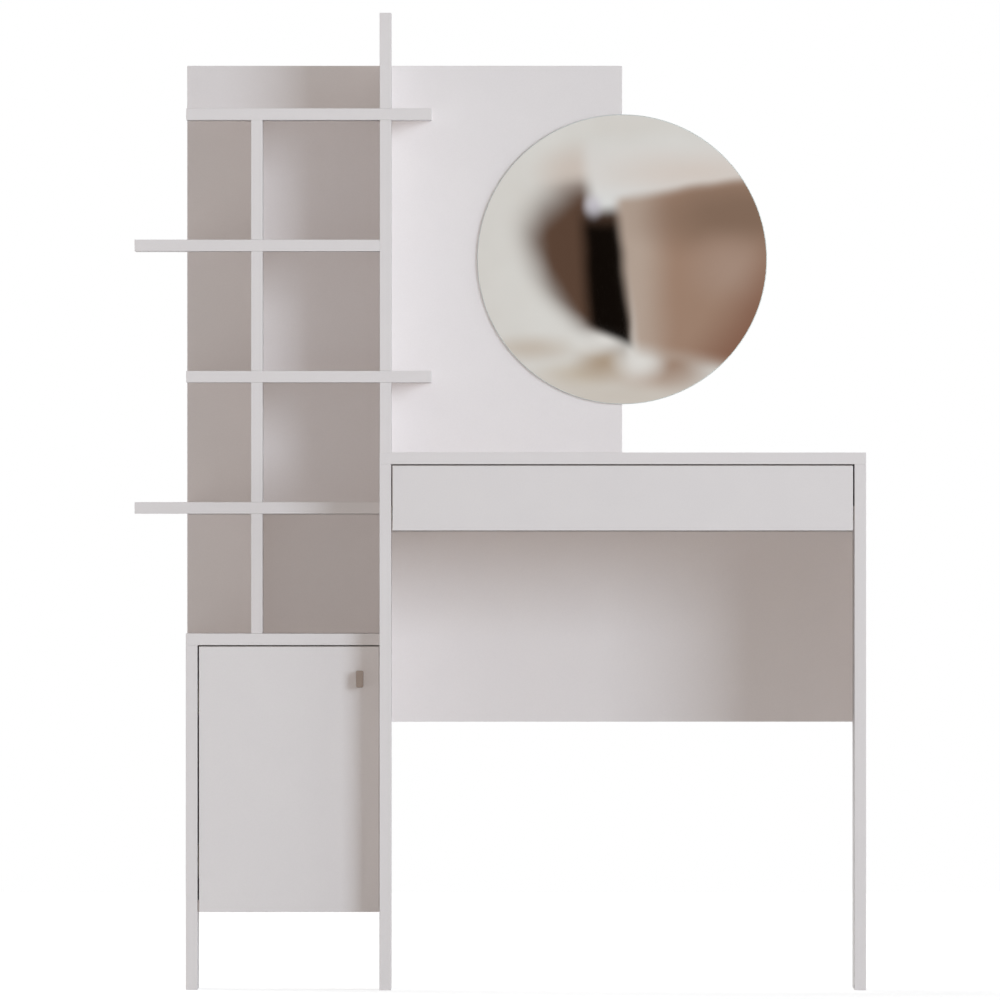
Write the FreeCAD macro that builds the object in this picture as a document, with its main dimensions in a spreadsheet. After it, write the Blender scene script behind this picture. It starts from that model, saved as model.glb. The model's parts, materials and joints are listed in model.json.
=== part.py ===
"""Dressing table with a shelf tower, a low cabinet, one drawer and a round mirror.

The frame: X to the right, Y to the back, Z up, millimetres, with the origin on the floor at the middle
of the overall box. Boards are given by their low and high corners. Every corner is a formula of the
driving sizes, so a changed size moves whatever meets it.
"""
import FreeCAD, Part
import os
import re

import Sketcher
from FreeCAD import Placement, Rotation, Vector

# Driving sizes in millimetres
SIZES = {
    # carcass boards
    "board_thickness": 16,
    "edge_radius": 0.5,
    # desk
    "desk_width": 668,
    "desk_depth": 350,
    "desk_height": 738,
    "modesty_height": 355,
    # low cabinet
    "cabinet_clear_width": 250,
    "cabinet_depth": 300,
    "cabinet_height": 489.5,
    "foot_height": 107,
    "stop_width": 16,
    "stop_gap": 1,
    "stop_drop": 14,
    # shelf tower
    "tower_depth": 220,
    "shelf_pitch": 180.5,
    "shelf_overhang": 71,
    "divider_clear_width": 161,
    "back_rise": 60.5,
    "partition_rise": 71,
    "lap_clearance": 0.1,
    # mirror
    "mirror_panel_width": 318,
    "mirror_diameter": 400,
    "mirror_thickness": 4,
    "mirror_arris": 1,
    "tape_thickness": 1,
    "tape_width": 25,
    "tape_height": 220,
    "tape_spacing": 80,
    "tape_edge": 37.5,
    # gaps round the drawer front and the door
    "reveal": 2,
    "door_free_gap": 0.7,
    # thin panels in grooves
    "panel_thickness": 3,
    "groove_depth": 5,
    "groove_clearance": 0.1,
    "panel_slack": 0.4,
    "cabinet_back_inset": 12,
    # drawer box
    "drawer_board": 12,
    "drawer_front_height": 89,
    "drawer_side_height": 60,
    "drawer_lip": 14,
    "drawer_bottom_inset": 8,
    # roller slides
    "slide_space": 12.5,
    "slide_rear_gap": 18,
    "slide_front_gap": 1,
    "sheet_steel": 1.2,
    "rail_height": 20,
    "rail_width": 10.5,
    "rail_lip": 3.2,
    "rail_tab": 30,
    "runner_reach": 10.5,
    "roller_width": 6,
    "roller_gap": 0.3,
    "runner_gap": 0.6,
    "front_roller_inset": 12,
    "rear_roller_inset": 14,
    "axle_diameter": 5,
    "axle_clearance": 0.1,
    "axle_collar": 7.2,
    "axle_collar_height": 1,
    "axle_cap_height": 0.8,
    "axle_tenon": 3,
    "axle_end_gap": 0.2,
    "roller_bevel": 0.6,
    # concealed hinges
    "cup_diameter": 35,
    "cup_depth": 12.5,
    "cup_wall": 0.8,
    "cup_from_edge": 5,
    "cup_flange": 1,
    "cup_rim": 2,
    "cup_screw_pitch": 48,
    "cup_screw_offset": 6,
    "hinge_wing": 14,
    "hinge_inset": 70,
    "hinge_pin": 3,
    "hinge_eye": 5.2,
    "hinge_play": 0.4,
    "hinge_swing_clearance": 0.35,
    "hinge_arm_reach": 12,
    "hinge_arm_strip": 2,
    "hinge_arm_width": 12,
    "hinge_arm_length": 52,
    "hinge_plate_height": 6,
    "hinge_plate_base": 2,
    "hinge_plate_screw_pitch": 32,
    # door knob
    "knob_width": 10,
    "knob_height": 23,
    "knob_projection": 20,
    "knob_stem": 6,
    "knob_stem_inset": 1.5,
    "knob_corner": 2,
    "knob_edge": 0.8,
    "knob_from_edge": 26.5,
    "knob_from_top": 44.5,
    # cam joints and dowels
    "cam_diameter": 15,
    "cam_depth": 12.5,
    "cam_reach": 34,
    "cam_bolt_hole": 8,
    "cam_bolt_thread": 5,
    "cam_bolt_bite": 11,
    "cam_sink": 0.2,
    "cam_bolt_head": 4,
    "cam_bolt_neck": 4,
    "dowel_diameter": 8,
    "dowel_length": 30,
    "dowel_bite": 10,
    "drawer_dowel_diameter": 6,
    "dowel_bevel": 0.8,
    "hole_clearance": 0.1,
    "hole_end_gap": 0.5,
    "tight_clearance": 0.04,
    "joint_inset": 45,
    "joint_pitch": 32,
    "shelf_screw_inset": 55,
    # screws: head diameter and height, shank diameter, length under the head
    "board_screw_head": 8,
    "board_screw_sink": 2.2,
    "board_screw_shank": 4,
    "board_screw_length": 44,
    "stop_screw_length": 23,
    "drawer_screw_length": 33,
    "small_screw_head": 6,
    "small_screw_cap": 0.9,
    "small_screw_shank": 3,
    "small_screw_length": 13,
    "knob_screw_head": 8,
    "knob_screw_cap": 2,
    "knob_screw_shank": 4,
    "knob_screw_bite": 10,
}

# Places worked out from the driving sizes
PLACES = {
    "half_board": "board_thickness / 2",
    "tower_width": "cabinet_clear_width + board_thickness",
    "total_width": "shelf_overhang + tower_width + desk_width",
    "left_end": "-total_width / 2",
    "tower_left": "left_end + shelf_overhang",
    "cabinet_inner": "tower_left + board_thickness",
    "desk_left": "tower_left + tower_width",
    "knee_left": "desk_left + board_thickness",
    "desk_right": "desk_left + desk_width",
    "knee_right": "desk_right - board_thickness",
    "cabinet_side_middle": "tower_left + half_board",
    "desk_left_middle": "desk_left + half_board",
    "desk_right_middle": "desk_right - half_board",
    "desk_front": "-desk_depth / 2",
    "rear": "desk_depth / 2",
    "back_front": "rear - board_thickness",
    "back_middle": "rear - half_board",
    "desk_under": "desk_height - board_thickness",
    "modesty_low": "desk_under - modesty_height",
    "cabinet_front": "rear - cabinet_depth",
    "cabinet_under": "cabinet_height - board_thickness",
    "cabinet_floor": "foot_height + board_thickness",
    "groove_rear": "rear - cabinet_back_inset",
    "groove_width": "panel_thickness + 2 * groove_clearance",
    "groove_front": "groove_rear - groove_width",
    "panel_bite": "groove_depth - panel_slack",
    # shelf tower
    "tower_front": "rear - tower_depth",
    "lap_line": "(tower_front + back_front) / 2",
    "shelf_length": "tower_width + shelf_overhang",
    "back_top": "cabinet_height + 4 * shelf_pitch + back_rise",
    "partition_top": "back_top + partition_rise",
    "divider_left": "desk_left - divider_clear_width - board_thickness",
    "divider_right": "divider_left + board_thickness",
    "divider_middle": "divider_left + half_board",
    "stub_middle": "knee_left + (shelf_overhang - board_thickness) / 2",
    "upper_height": "back_top - desk_height",
    # mirror
    "mirror_x": "knee_left + mirror_panel_width",
    "mirror_z": "(desk_height + back_top) / 2",
    "tape_front": "back_front - tape_thickness",
    "tape_low": "mirror_z - tape_height / 2",
    "tape_high": "mirror_z + tape_height / 2",
    "inner_tape_right": "mirror_x - tape_edge",
    "outer_tape_right": "inner_tape_right - tape_spacing",
    # door
    "door_left": "cabinet_inner + reveal",
    "door_right": "desk_left - door_free_gap",
    "door_back": "cabinet_front + board_thickness",
    "stop_front": "door_back + stop_gap",
    "door_top": "cabinet_under - reveal",
    "stop_top": "door_top - stop_drop",
    "knob_x": "door_right - knob_from_edge",
    "knob_z": "door_top - knob_from_top",
    # drawer
    "front_back": "desk_front + board_thickness",
    "drawer_front_low": "desk_under - reveal - drawer_front_height",
    "slide_low": "drawer_front_low + drawer_lip",
    "slide_length": "desk_depth - 2 * board_thickness - slide_rear_gap",
    "drawer_rear": "front_back + slide_length",
    "drawer_base": "slide_low + sheet_steel",
    "drawer_high": "drawer_base + drawer_side_height",
    "drawer_left": "knee_left + slide_space",
    "drawer_right": "knee_right - slide_space",
    "drawer_inner_left": "drawer_left + drawer_board",
    "drawer_inner_right": "drawer_right - drawer_board",
    "drawer_back_front": "drawer_rear - drawer_board",
    "drawer_groove_low": "drawer_base + drawer_bottom_inset",
    "drawer_groove_high": "drawer_groove_low + groove_width",
    # slides
    "rail_front": "front_back + slide_front_gap",
    "rail_length": "slide_length - slide_front_gap",
    "roller_diameter": "rail_height - 2 * sheet_steel - 2 * roller_gap",
    "runner_height": "rail_height + runner_gap + sheet_steel",
    "roller_start": "sheet_steel + axle_collar_height + axle_end_gap",
    "front_roller_y": "rail_front + front_roller_inset",
    "front_roller_z": "slide_low + rail_height + runner_gap - roller_gap - roller_diameter / 2",
    "rear_roller_y": "rail_front + rail_length - rear_roller_inset",
    "rear_roller_z": "slide_low + sheet_steel + roller_gap + roller_diameter / 2",
    "rail_middle": "slide_low + rail_height / 2",
    "runner_screw_line": "slide_space + drawer_board / 3",
    # hinges: the pin stands far enough from the door's edge for its corner to swing inside the reveal
    "pin_depth": "board_thickness - cup_depth + cup_wall + hinge_eye / 2 + hinge_play",
    "swing_room": "reveal - hinge_swing_clearance",
    "pin_from_edge": "(pin_depth ^ 2 - swing_room ^ 2) / (2 * swing_room)",
    "pin_x": "door_left + pin_from_edge",
    "pin_y": "cabinet_front + pin_depth",
    "cup_x": "door_left + cup_from_edge + cup_diameter / 2",
    "pin_half_length": "sqrt((cup_diameter / 2) ^ 2 - (cup_x - pin_x + hinge_pin / 2) ^ 2) - hinge_play",
    "pin_to_side": "pin_from_edge + reveal",
    "arm_back": "pin_to_side + 4 * hinge_play",
    # the back corner of the door's hinge edge swings into the cabinet, clear of its bottom board
    "edge_swing": "sqrt(pin_from_edge ^ 2 + (board_thickness - pin_depth) ^ 2)",
    "bottom_front": "pin_y + edge_swing + reveal",
    "plate_top": "hinge_plate_height - pin_to_side",
    "plate_middle": "pin_y + arm_back + 0.55 * hinge_arm_length",
    "upper_hinge_z": "door_top - hinge_inset",
    "lower_hinge_z": "foot_height + hinge_inset",
}

MIDDLE = [("0", "0")]
AXES = "xyz"
# For each axis: the plane square to it, the sign of that plane's normal, and the plane's own two axes
PLANE = {
    "x": ("YZ_Plane", "+", "yz"),
    "y": ("XZ_Plane", "-", "xz"),
    "z": ("XY_Plane", "+", "xy"),
}
BOX_EDGES = 12
NAME = re.compile(r"[a-z][a-z_0-9]*")

doc = FreeCAD.newDocument("dressing_table")
sheet = doc.addObject("Spreadsheet::Sheet", "Sizes")
for row, (alias, size) in enumerate(SIZES.items(), start=1):
    sheet.set(f"A{row}", alias)
    sheet.set(f"B{row}", str(size))
    sheet.setAlias(f"B{row}", alias)
doc.recompute()

pieces = []


def formula(text):
    """Write a formula of named sizes and places in terms of the sheet's cells."""

    def swap(match):
        name = match.group()
        if name in SIZES:
            return f"Sizes.{name}"
        if name in PLACES:
            return f"({formula(PLACES[name])})"
        return name

    return NAME.sub(swap, text)


def value(text):
    return float(sheet.evalExpression(formula(text)))


def vector(point):
    return Vector(*(value(text) for text in point))


def direction(face):
    """The unit vector of a face such as +x or -z."""
    parts = [0, 0, 0]
    parts[AXES.index(face[1])] = int(face[0] + "1")
    return Vector(*parts)


def bind(item, setting, text):
    item.setExpression(setting, formula(text))


# Sketches and features

def new_body(label, place=("0", "0", "0")):
    body = doc.addObject("PartDesign::Body", label)
    body.Label = label
    for letter, text in zip(AXES, place):
        bind(body, f"Placement.Base.{letter}", text)
    return body


def new_sketch(body, label, axis, offset="0"):
    """A sketch square to an axis of its body, offset along that axis."""
    role, sign, _ = PLANE[axis]
    plane = next(item for item in body.Origin.OriginFeatures if item.Role == role)
    sketch = body.newObject("Sketcher::SketchObject", f"{body.Name}_{label}")
    sketch.AttachmentSupport = [(plane, "")]
    sketch.MapMode = "FlatFace"
    if offset != "0":
        bind(sketch, "AttachmentOffset.Base.z", f"{sign}({offset})")
    return sketch


def add_bound(sketch, bound):
    """Add constraints to a sketch and bind each to its formula, where it has one."""
    indexes = sketch.addConstraint([constraint for constraint, _ in bound])
    for index, (_, text) in zip(indexes, bound):
        if text:
            bind(sketch, f"Constraints[{index}]", text)


def fixed_point(curve, end, across, up):
    """Constraints that hold one point of a sketch at its formulas."""
    bound = []
    for kind, text, axis in (("DistanceX", across, -2), ("DistanceY", up, -1)):
        size = value(text)
        if abs(size) < 1e-9:
            bound.append((Sketcher.Constraint("PointOnObject", curve, end, axis), None))
        else:
            bound.append((Sketcher.Constraint(kind, -1, 1, curve, end, size), text))
    return bound


def draw_outline(sketch, corners):
    """A closed outline of straight lines through corners given as (across, up)."""
    points = [Vector(value(across), value(up), 0) for across, up in corners]
    first = sketch.GeometryCount
    count = len(points)
    ring = [first + index for index in range(count)]
    following = ring[1:] + ring[:1]
    lines = [Part.LineSegment(points[i], points[(i + 1) % count]) for i in range(count)]
    sketch.addGeometry(lines, False)
    bound = []
    for line, after, (across, up) in zip(ring, following, corners):
        bound.append((Sketcher.Constraint("Coincident", line, 2, after, 1), None))
        bound += fixed_point(line, 1, across, up)
    add_bound(sketch, bound)


def draw_rectangle(sketch, low, high):
    corners = [low, (high[0], low[1]), high, (low[0], high[1])]
    draw_outline(sketch, corners)


def draw_circles(sketch, centres, diameter):
    size = value(diameter)
    bound = []
    for across, up in centres:
        centre = Vector(value(across), value(up), 0)
        curve = sketch.addGeometry(Part.Circle(centre, Vector(0, 0, 1), size / 2), False)
        bound.append((Sketcher.Constraint("Diameter", curve, size), diameter))
        bound += fixed_point(curve, 3, across, up)
    add_bound(sketch, bound)


def pad(body, sketch, length, backward=False, symmetric=False):
    feature = body.newObject("PartDesign::Pad", f"{sketch.Name}_pad")
    feature.Profile = sketch
    feature.Reversed = backward
    if symmetric:
        feature.SideType = "Symmetric"
    bind(feature, "Length", length)
    return feature


def pocket(body, sketch, depth, backward=False):
    feature = body.newObject("PartDesign::Pocket", f"{sketch.Name}_pocket")
    feature.Profile = sketch
    feature.Reversed = backward
    bind(feature, "Length", depth)
    return feature


def face_pocket(body, label, face, level, draw, depth):
    """Cut into a body from a face such as -y that lies at the given level along its axis."""
    sign, axis = face
    sketch = new_sketch(body, label, axis, level)
    draw(sketch)
    return pocket(body, sketch, depth, backward=sign != PLANE[axis][1])


def round_pockets(body, label, face, level, centres, diameter, depth):
    face_pocket(body, label, face, level, lambda sketch: draw_circles(sketch, centres, diameter), depth)


def ease_box(body, block):
    """Round every edge of a rectangular pad."""
    feature = body.newObject("PartDesign::Fillet", f"{body.Name}_eased")
    feature.Base = (block, [f"Edge{index + 1}" for index in range(BOX_EDGES)])
    bind(feature, "Radius", "edge_radius")


def turned(label, profile, place=("0", "0", "0")):
    """A body turned about Z from a profile of (radius, height) corners."""
    body = new_body(label, place)
    sketch = new_sketch(body, "profile", "y")
    draw_outline(sketch, profile)
    feature = body.newObject("PartDesign::Revolution", f"{label}_turned")
    feature.Profile = sketch
    feature.ReferenceAxis = (sketch, ["V_Axis"])
    feature.Angle = 360
    return body


def copies(label, pattern, places):
    """One node of separate, identical solids set at the given placements."""
    group = doc.addObject("Part::Feature", label)
    group.Label = label
    solids = []
    for place in places:
        solid = pattern.Shape.copy()
        solid.Placement = place
        solids.append(solid)
    group.Shape = Part.makeCompound(solids)
    pieces.append(group)


def along(point, face):
    """Stand a turned pattern at a point with its axis along a face's normal."""
    return Placement(vector(point), Rotation(Vector(0, 0, 1), direction(face)))


# Boards: low corner and high corner
BOARDS = {
    "desk_top": (("desk_left", "desk_front", "desk_under"), ("desk_right", "rear", "desk_height")),
    "desk_left_side": (("desk_left", "desk_front", "0"), ("knee_left", "rear", "desk_under")),
    "desk_right_side": (("knee_right", "desk_front", "0"), ("desk_right", "rear", "desk_under")),
    "modesty_panel": (("knee_left", "back_front", "modesty_low"), ("knee_right", "rear", "desk_under")),
    "cabinet_top": (
        ("tower_left", "cabinet_front", "cabinet_under"),
        ("desk_left", "rear", "cabinet_height"),
    ),
    "cabinet_left_side": (("tower_left", "cabinet_front", "0"), ("cabinet_inner", "rear", "cabinet_under")),
    "cabinet_bottom": (
        ("cabinet_inner", "bottom_front", "foot_height"),
        ("desk_left", "rear", "cabinet_floor"),
    ),
    "door_stop": (
        ("desk_left - stop_width", "stop_front", "cabinet_floor"),
        ("desk_left", "stop_front + stop_width", "stop_top"),
    ),
    "tower_back": (("tower_left", "back_front", "cabinet_height"), ("desk_left", "rear", "back_top")),
    "tower_divider": (
        ("divider_left", "tower_front", "cabinet_height"),
        ("divider_right", "back_front", "shelf_1_low"),
    ),
    "tower_partition": (("desk_left", "tower_front", "desk_height"), ("knee_left", "rear", "partition_top")),
    "mirror_panel": (("knee_left", "back_front", "desk_height"), ("mirror_x", "rear", "back_top")),
    "door_panel": (("door_left", "cabinet_front", "foot_height"), ("door_right", "door_back", "door_top")),
    "drawer_front": (
        ("knee_left + reveal", "desk_front", "drawer_front_low"),
        ("knee_right - reveal", "front_back", "desk_under - reveal"),
    ),
    "drawer_left_side": (
        ("drawer_left", "front_back", "drawer_base"),
        ("drawer_inner_left", "drawer_rear", "drawer_high"),
    ),
    "drawer_right_side": (
        ("drawer_inner_right", "front_back", "drawer_base"),
        ("drawer_right", "drawer_rear", "drawer_high"),
    ),
    "drawer_back": (
        ("drawer_inner_left", "drawer_back_front", "drawer_base"),
        ("drawer_inner_right", "drawer_rear", "drawer_high"),
    ),
}

# The shelves count from the top: 1 and 3 run through the partition, 2 and 4 stand out to the left
for number in (1, 2, 3, 4):
    PLACES[f"shelf_{number}_high"] = f"cabinet_height + {5 - number} * shelf_pitch"
    PLACES[f"shelf_{number}_low"] = f"shelf_{number}_high - board_thickness"
    PLACES[f"shelf_{number}_middle"] = f"shelf_{number}_high - half_board"
    start = "tower_left" if number in (1, 3) else "left_end"
    BOARDS[f"shelf_{number}"] = (
        (start, "tower_front", f"shelf_{number}_low"),
        (f"{start} + shelf_length", "back_front", f"shelf_{number}_high"),
    )

# Thin panels and tapes: boards with square edges
PANELS = {
    "cabinet_back": (
        ("cabinet_inner - panel_bite", "groove_front + groove_clearance", "cabinet_floor - panel_bite"),
        ("desk_left + panel_bite", "groove_rear - groove_clearance", "cabinet_under + panel_bite"),
    ),
    "drawer_bottom": (
        ("drawer_inner_left - panel_bite", "front_back - panel_bite", "drawer_groove_low + groove_clearance"),
        (
            "drawer_inner_right + panel_bite",
            "drawer_back_front + panel_bite",
            "drawer_groove_high - groove_clearance",
        ),
    ),
    "mirror_tape_inner": (
        ("inner_tape_right - tape_width", "tape_front", "tape_low"),
        ("inner_tape_right", "back_front", "tape_high"),
    ),
    "mirror_tape_outer": (
        ("outer_tape_right - tape_width", "tape_front", "tape_low"),
        ("outer_tape_right", "back_front", "tape_high"),
    ),
}

holes = {label: {} for label in BOARDS}
notches = {label: [] for label in BOARDS}
cams = []
bolts = []
dowels = []
drawer_dowels = []


# Joints between boards

def opposite(face):
    return {"+": "-", "-": "+"}[face[0]] + face[1]


def shifted(point, face, distance):
    """A point moved by a distance along a face's normal."""
    moved = list(point)
    index = AXES.index(face[1])
    moved[index] = f"{moved[index]} {face[0]} ({distance})"
    return tuple(moved)


def drill(board, face, point, diameter, depth):
    holes[board].setdefault((face, diameter, depth), []).append(point)


def notch(board, face, low, high, depth):
    """A groove or slot between two corners, of which the two along the face count."""
    notches[board].append((face, low, high, depth))


def cam_joint(edge_board, face_board, face, cam_face, points):
    """Draw a board's edge, whose normal is face, against another board with cams set in cam_face."""
    thread = "cam_bolt_thread + hole_clearance"
    for point in points:
        drill(face_board, opposite(face), point, thread, "cam_bolt_bite + hole_end_gap")
        drill(edge_board, face, point, "cam_bolt_hole", "cam_reach")
        centre = shifted(point, face, "-cam_reach")
        drill(edge_board, cam_face, centre, "cam_diameter + hole_clearance", "cam_depth + hole_clearance")
        bolts.append(along(point, face))
        mouth = shifted(centre, cam_face, "half_board")
        turn = Rotation(direction(face), Vector(), direction(cam_face), "ZXY")
        cams.append(Placement(vector(mouth), turn))


def dowel_joint(edge_board, face_board, face, points, diameter="dowel_diameter", group=dowels):
    """Dowels across a butt joint, most of their length in the board whose edge meets the other."""
    wide = f"{diameter} + hole_clearance"
    for point in points:
        drill(face_board, opposite(face), point, wide, "dowel_bite + hole_end_gap")
        drill(edge_board, face, point, wide, "dowel_length - dowel_bite + hole_end_gap")
        group.append(along(point, face))


def screw_through(outer_board, inner_board, face, points, length, thickness="board_thickness"):
    """Sunk screws that enter outer_board at a face and go on into inner_board."""
    shank = "board_screw_shank + hole_clearance"
    reach = f"{length} + board_screw_sink - {thickness} + hole_end_gap"
    for point in points:
        drill(outer_board, face, point, "board_screw_head + 2 * hole_clearance", "board_screw_sink")
        drill(outer_board, face, point, shank, thickness)
        drill(inner_board, face, shifted(point, face, f"-{thickness}"), shank, reach)


def spread(low, high, gap):
    """Two coordinates, each a gap in from the ends of a run."""
    return [f"{low} + {gap}", f"{high} - ({gap})"]


CAM_GAP = "joint_inset"
DOWEL_GAP = "joint_inset + joint_pitch"


def butt(edge_board, face_board, face, cam_face, place, low, high):
    """Two cams, with two dowels between them, along a butt joint from low to high."""
    cam_joint(edge_board, face_board, face, cam_face, [place(at) for at in spread(low, high, CAM_GAP)])
    dowel_joint(edge_board, face_board, face, [place(at) for at in spread(low, high, DOWEL_GAP)])


def part_way(low, length, *shares):
    return [f"{low} + {share} * {length}" for share in shares]


# Desk
butt("desk_left_side", "desk_top", "+z", "+x",
     lambda at: ("desk_left_middle", at, "desk_under"), "desk_front", "rear")
butt("desk_right_side", "desk_top", "+z", "-x",
     lambda at: ("desk_right_middle", at, "desk_under"), "desk_front", "rear")
butt("modesty_panel", "desk_left_side", "-x", "+y",
     lambda at: ("knee_left", "back_middle", at), "modesty_low", "desk_under")
butt("modesty_panel", "desk_right_side", "+x", "+y",
     lambda at: ("knee_right", "back_middle", at), "modesty_low", "desk_under")

# Cabinet
butt("cabinet_left_side", "cabinet_top", "+z", "+x",
     lambda at: ("cabinet_side_middle", at, "cabinet_under"), "cabinet_front", "groove_front")
butt("cabinet_top", "desk_left_side", "+x", "-z",
     lambda at: ("desk_left", at, "cabinet_under + half_board"), "cabinet_front", "groove_front")
butt("cabinet_bottom", "cabinet_left_side", "-x", "-z",
     lambda at: ("cabinet_inner", at, "foot_height + half_board"), "bottom_front", "groove_front")
butt("cabinet_bottom", "desk_left_side", "+x", "-z",
     lambda at: ("desk_left", at, "foot_height + half_board"), "bottom_front", "groove_front")

# Tower back and mirror panel
butt("tower_back", "cabinet_top", "-z", "+y",
     lambda at: (at, "back_middle", "cabinet_height"), "tower_left", "desk_left")
butt("mirror_panel", "desk_top", "-z", "+y",
     lambda at: (at, "back_middle", "desk_height"), "knee_left", "mirror_x")
cam_joint("tower_back", "tower_partition", "+x", "+y",
          [("desk_left", "back_middle", at) for at in part_way("desk_height", "upper_height", 0.3, 0.85)])
dowel_joint("tower_back", "tower_partition", "+x",
            [("desk_left", "back_middle", at) for at in part_way("desk_height", "upper_height", 0.1, 0.55)])
dowel_joint("tower_back", "desk_left_side", "+x",
            [("desk_left", "back_middle", "(cabinet_height + desk_under) / 2")])
cam_joint("mirror_panel", "tower_partition", "-x", "+y",
          [("knee_left", "back_middle", at) for at in part_way("desk_height", "upper_height", 0.4, 0.7)])
dowel_joint("mirror_panel", "tower_partition", "-x",
            [("knee_left", "back_middle", at) for at in part_way("desk_height", "upper_height", 0.05, 0.95)])

# Partition, divider and shelves
foot_dowels = part_way("tower_front", "tower_depth", 0.2, 0.5)
dowel_joint("tower_partition", "desk_top", "-z",
            [("desk_left_middle", at, "desk_height") for at in foot_dowels])
shelf_ends = spread("tower_front", "back_front", CAM_GAP)
for shelf, upright in (("shelf_2", "tower_partition"), ("shelf_4", "desk_left_side")):
    dowel_joint(shelf, upright, "+x", [("desk_left", at, f"{shelf}_middle") for at in shelf_ends])
dowel_joint("tower_divider", "shelf_1", "+z", [("divider_middle", at, "shelf_1_low") for at in shelf_ends])
dowel_joint("tower_divider", "cabinet_top", "-z",
            [("divider_middle", at, "cabinet_height") for at in shelf_ends])


def halve(upright, shelf, left):
    """Halve an upright into a shelf: the upright is slotted from the front, the shelf from the back."""
    over = "edge_radius"
    notch(shelf, "+z",
          (f"{left} - lap_clearance", "lap_line - lap_clearance", "0"),
          (f"{left} + board_thickness + lap_clearance", f"back_front + {over}", "0"), "board_thickness")
    notch(upright, "+x",
          ("0", f"tower_front - {over}", f"{shelf}_low - lap_clearance"),
          ("0", "lap_line + lap_clearance", f"{shelf}_high + lap_clearance"), "board_thickness")


for shelf in ("shelf_2", "shelf_3", "shelf_4"):
    halve("tower_divider", shelf, "divider_left")
for shelf in ("shelf_1", "shelf_3"):
    halve("tower_partition", shelf, "desk_left")

shelf_screws = []
screw_xs = spread("tower_left", "desk_left", "shelf_screw_inset")
for shelf in ("shelf_1", "shelf_2", "shelf_3", "shelf_4"):
    points = [(at, "rear", f"{shelf}_middle") for at in screw_xs]
    screw_through("tower_back", shelf, "+y", points, "board_screw_length")
    shelf_screws += points
for shelf in ("shelf_1", "shelf_3"):
    points = [("stub_middle", "rear", f"{shelf}_middle")]
    screw_through("mirror_panel", shelf, "+y", points, "board_screw_length")
    shelf_screws += points

# Door stop, and the grooves for the cabinet's back panel
stop_screws = [("desk_left - stop_width", "stop_front + stop_width / 2", at)
               for at in spread("cabinet_floor", "stop_top", CAM_GAP)]
screw_through("door_stop", "desk_left_side", "-x", stop_screws, "stop_screw_length", "stop_width")
groove_foot = "cabinet_floor - groove_depth"
notch("cabinet_left_side", "+x", ("0", "groove_front", groove_foot),
      ("0", "groove_rear", "cabinet_under + edge_radius"), "groove_depth")
notch("desk_left_side", "-x", ("0", "groove_front", groove_foot),
      ("0", "groove_rear", "cabinet_under + groove_depth"), "groove_depth")
notch("cabinet_bottom", "+z", ("cabinet_inner - edge_radius", "groove_front", "0"),
      ("desk_left + edge_radius", "groove_rear", "0"), "groove_depth")
notch("cabinet_top", "-z", ("cabinet_inner - groove_depth", "groove_front", "0"),
      ("desk_left + edge_radius", "groove_rear", "0"), "groove_depth")

# Drawer box
drawer_screws = []
for side, face, outer, middle in (
    ("drawer_left_side", "-x", "drawer_left", "drawer_left + drawer_board / 2"),
    ("drawer_right_side", "+x", "drawer_right", "drawer_right - drawer_board / 2"),
):
    heights = part_way("drawer_base", "drawer_side_height", 0.4, 0.75)
    dowel_joint(side, "drawer_front", "-y", [(middle, "front_back", at) for at in heights],
                "drawer_dowel_diameter", drawer_dowels)
    heights = part_way("drawer_base", "drawer_side_height", 0.5, 0.8)
    points = [(outer, "drawer_rear - drawer_board / 2", at) for at in heights]
    screw_through(side, "drawer_back", face, points, "drawer_screw_length", "drawer_board")
    drawer_screws += [(point, face) for point in points]
    inner = opposite(face)
    notch(side, inner, ("0", "front_back - edge_radius", "drawer_groove_low"),
          ("0", "drawer_back_front + groove_depth", "drawer_groove_high"), "groove_depth")
notch("drawer_front", "+y", ("drawer_inner_left - groove_depth", "0", "drawer_groove_low"),
      ("drawer_inner_right + groove_depth", "0", "drawer_groove_high"), "groove_depth")
notch("drawer_back", "-y", ("drawer_inner_left - edge_radius", "0", "drawer_groove_low"),
      ("drawer_inner_right + edge_radius", "0", "drawer_groove_high"), "groove_depth")

# Holes for the slides, the hinges and the knob
SMALL_HOLE = "small_screw_shank + hole_clearance"
SMALL_DEPTH = "small_screw_length + hole_end_gap"
rail_screw_ys = ["rail_front + rail_tab - small_screw_head", "rail_front + rail_length / 2",
                 "rail_front + rail_length - 2 * rear_roller_inset"]
runner_screw_ys = spread("front_back", "drawer_rear", "joint_inset")
for side, face in (("desk_left_side", "+x"), ("desk_right_side", "-x")):
    for at in rail_screw_ys:
        drill(side, face, ("0", at, "rail_middle"), SMALL_HOLE, SMALL_DEPTH)
for side, across in (("drawer_left_side", "knee_left + runner_screw_line"),
                     ("drawer_right_side", "knee_right - runner_screw_line")):
    for at in runner_screw_ys:
        drill(side, "-z", (across, at, "0"), SMALL_HOLE, SMALL_DEPTH)
for height in ("upper_hinge_z", "lower_hinge_z"):
    drill("door_panel", "+y", ("cup_x", "0", height), "cup_diameter", "cup_depth")
    for sign in "+-":
        at = f"{height} {sign} cup_screw_pitch / 2"
        drill("door_panel", "+y", ("cup_x + cup_screw_offset", "0", at), SMALL_HOLE, SMALL_DEPTH)
        at = f"{height} {sign} hinge_plate_screw_pitch / 2"
        drill("cabinet_left_side", "+x", ("0", "plate_middle", at), SMALL_HOLE, SMALL_DEPTH)
KNOB_HOLE = "knob_screw_shank + hole_clearance"
drill("door_panel", "+y", ("knob_x", "0", "knob_z"), KNOB_HOLE, "board_thickness")


# Building the boards

def local(point, low):
    return [f"({text}) - ({corner})" for text, corner in zip(point, low)]


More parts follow.
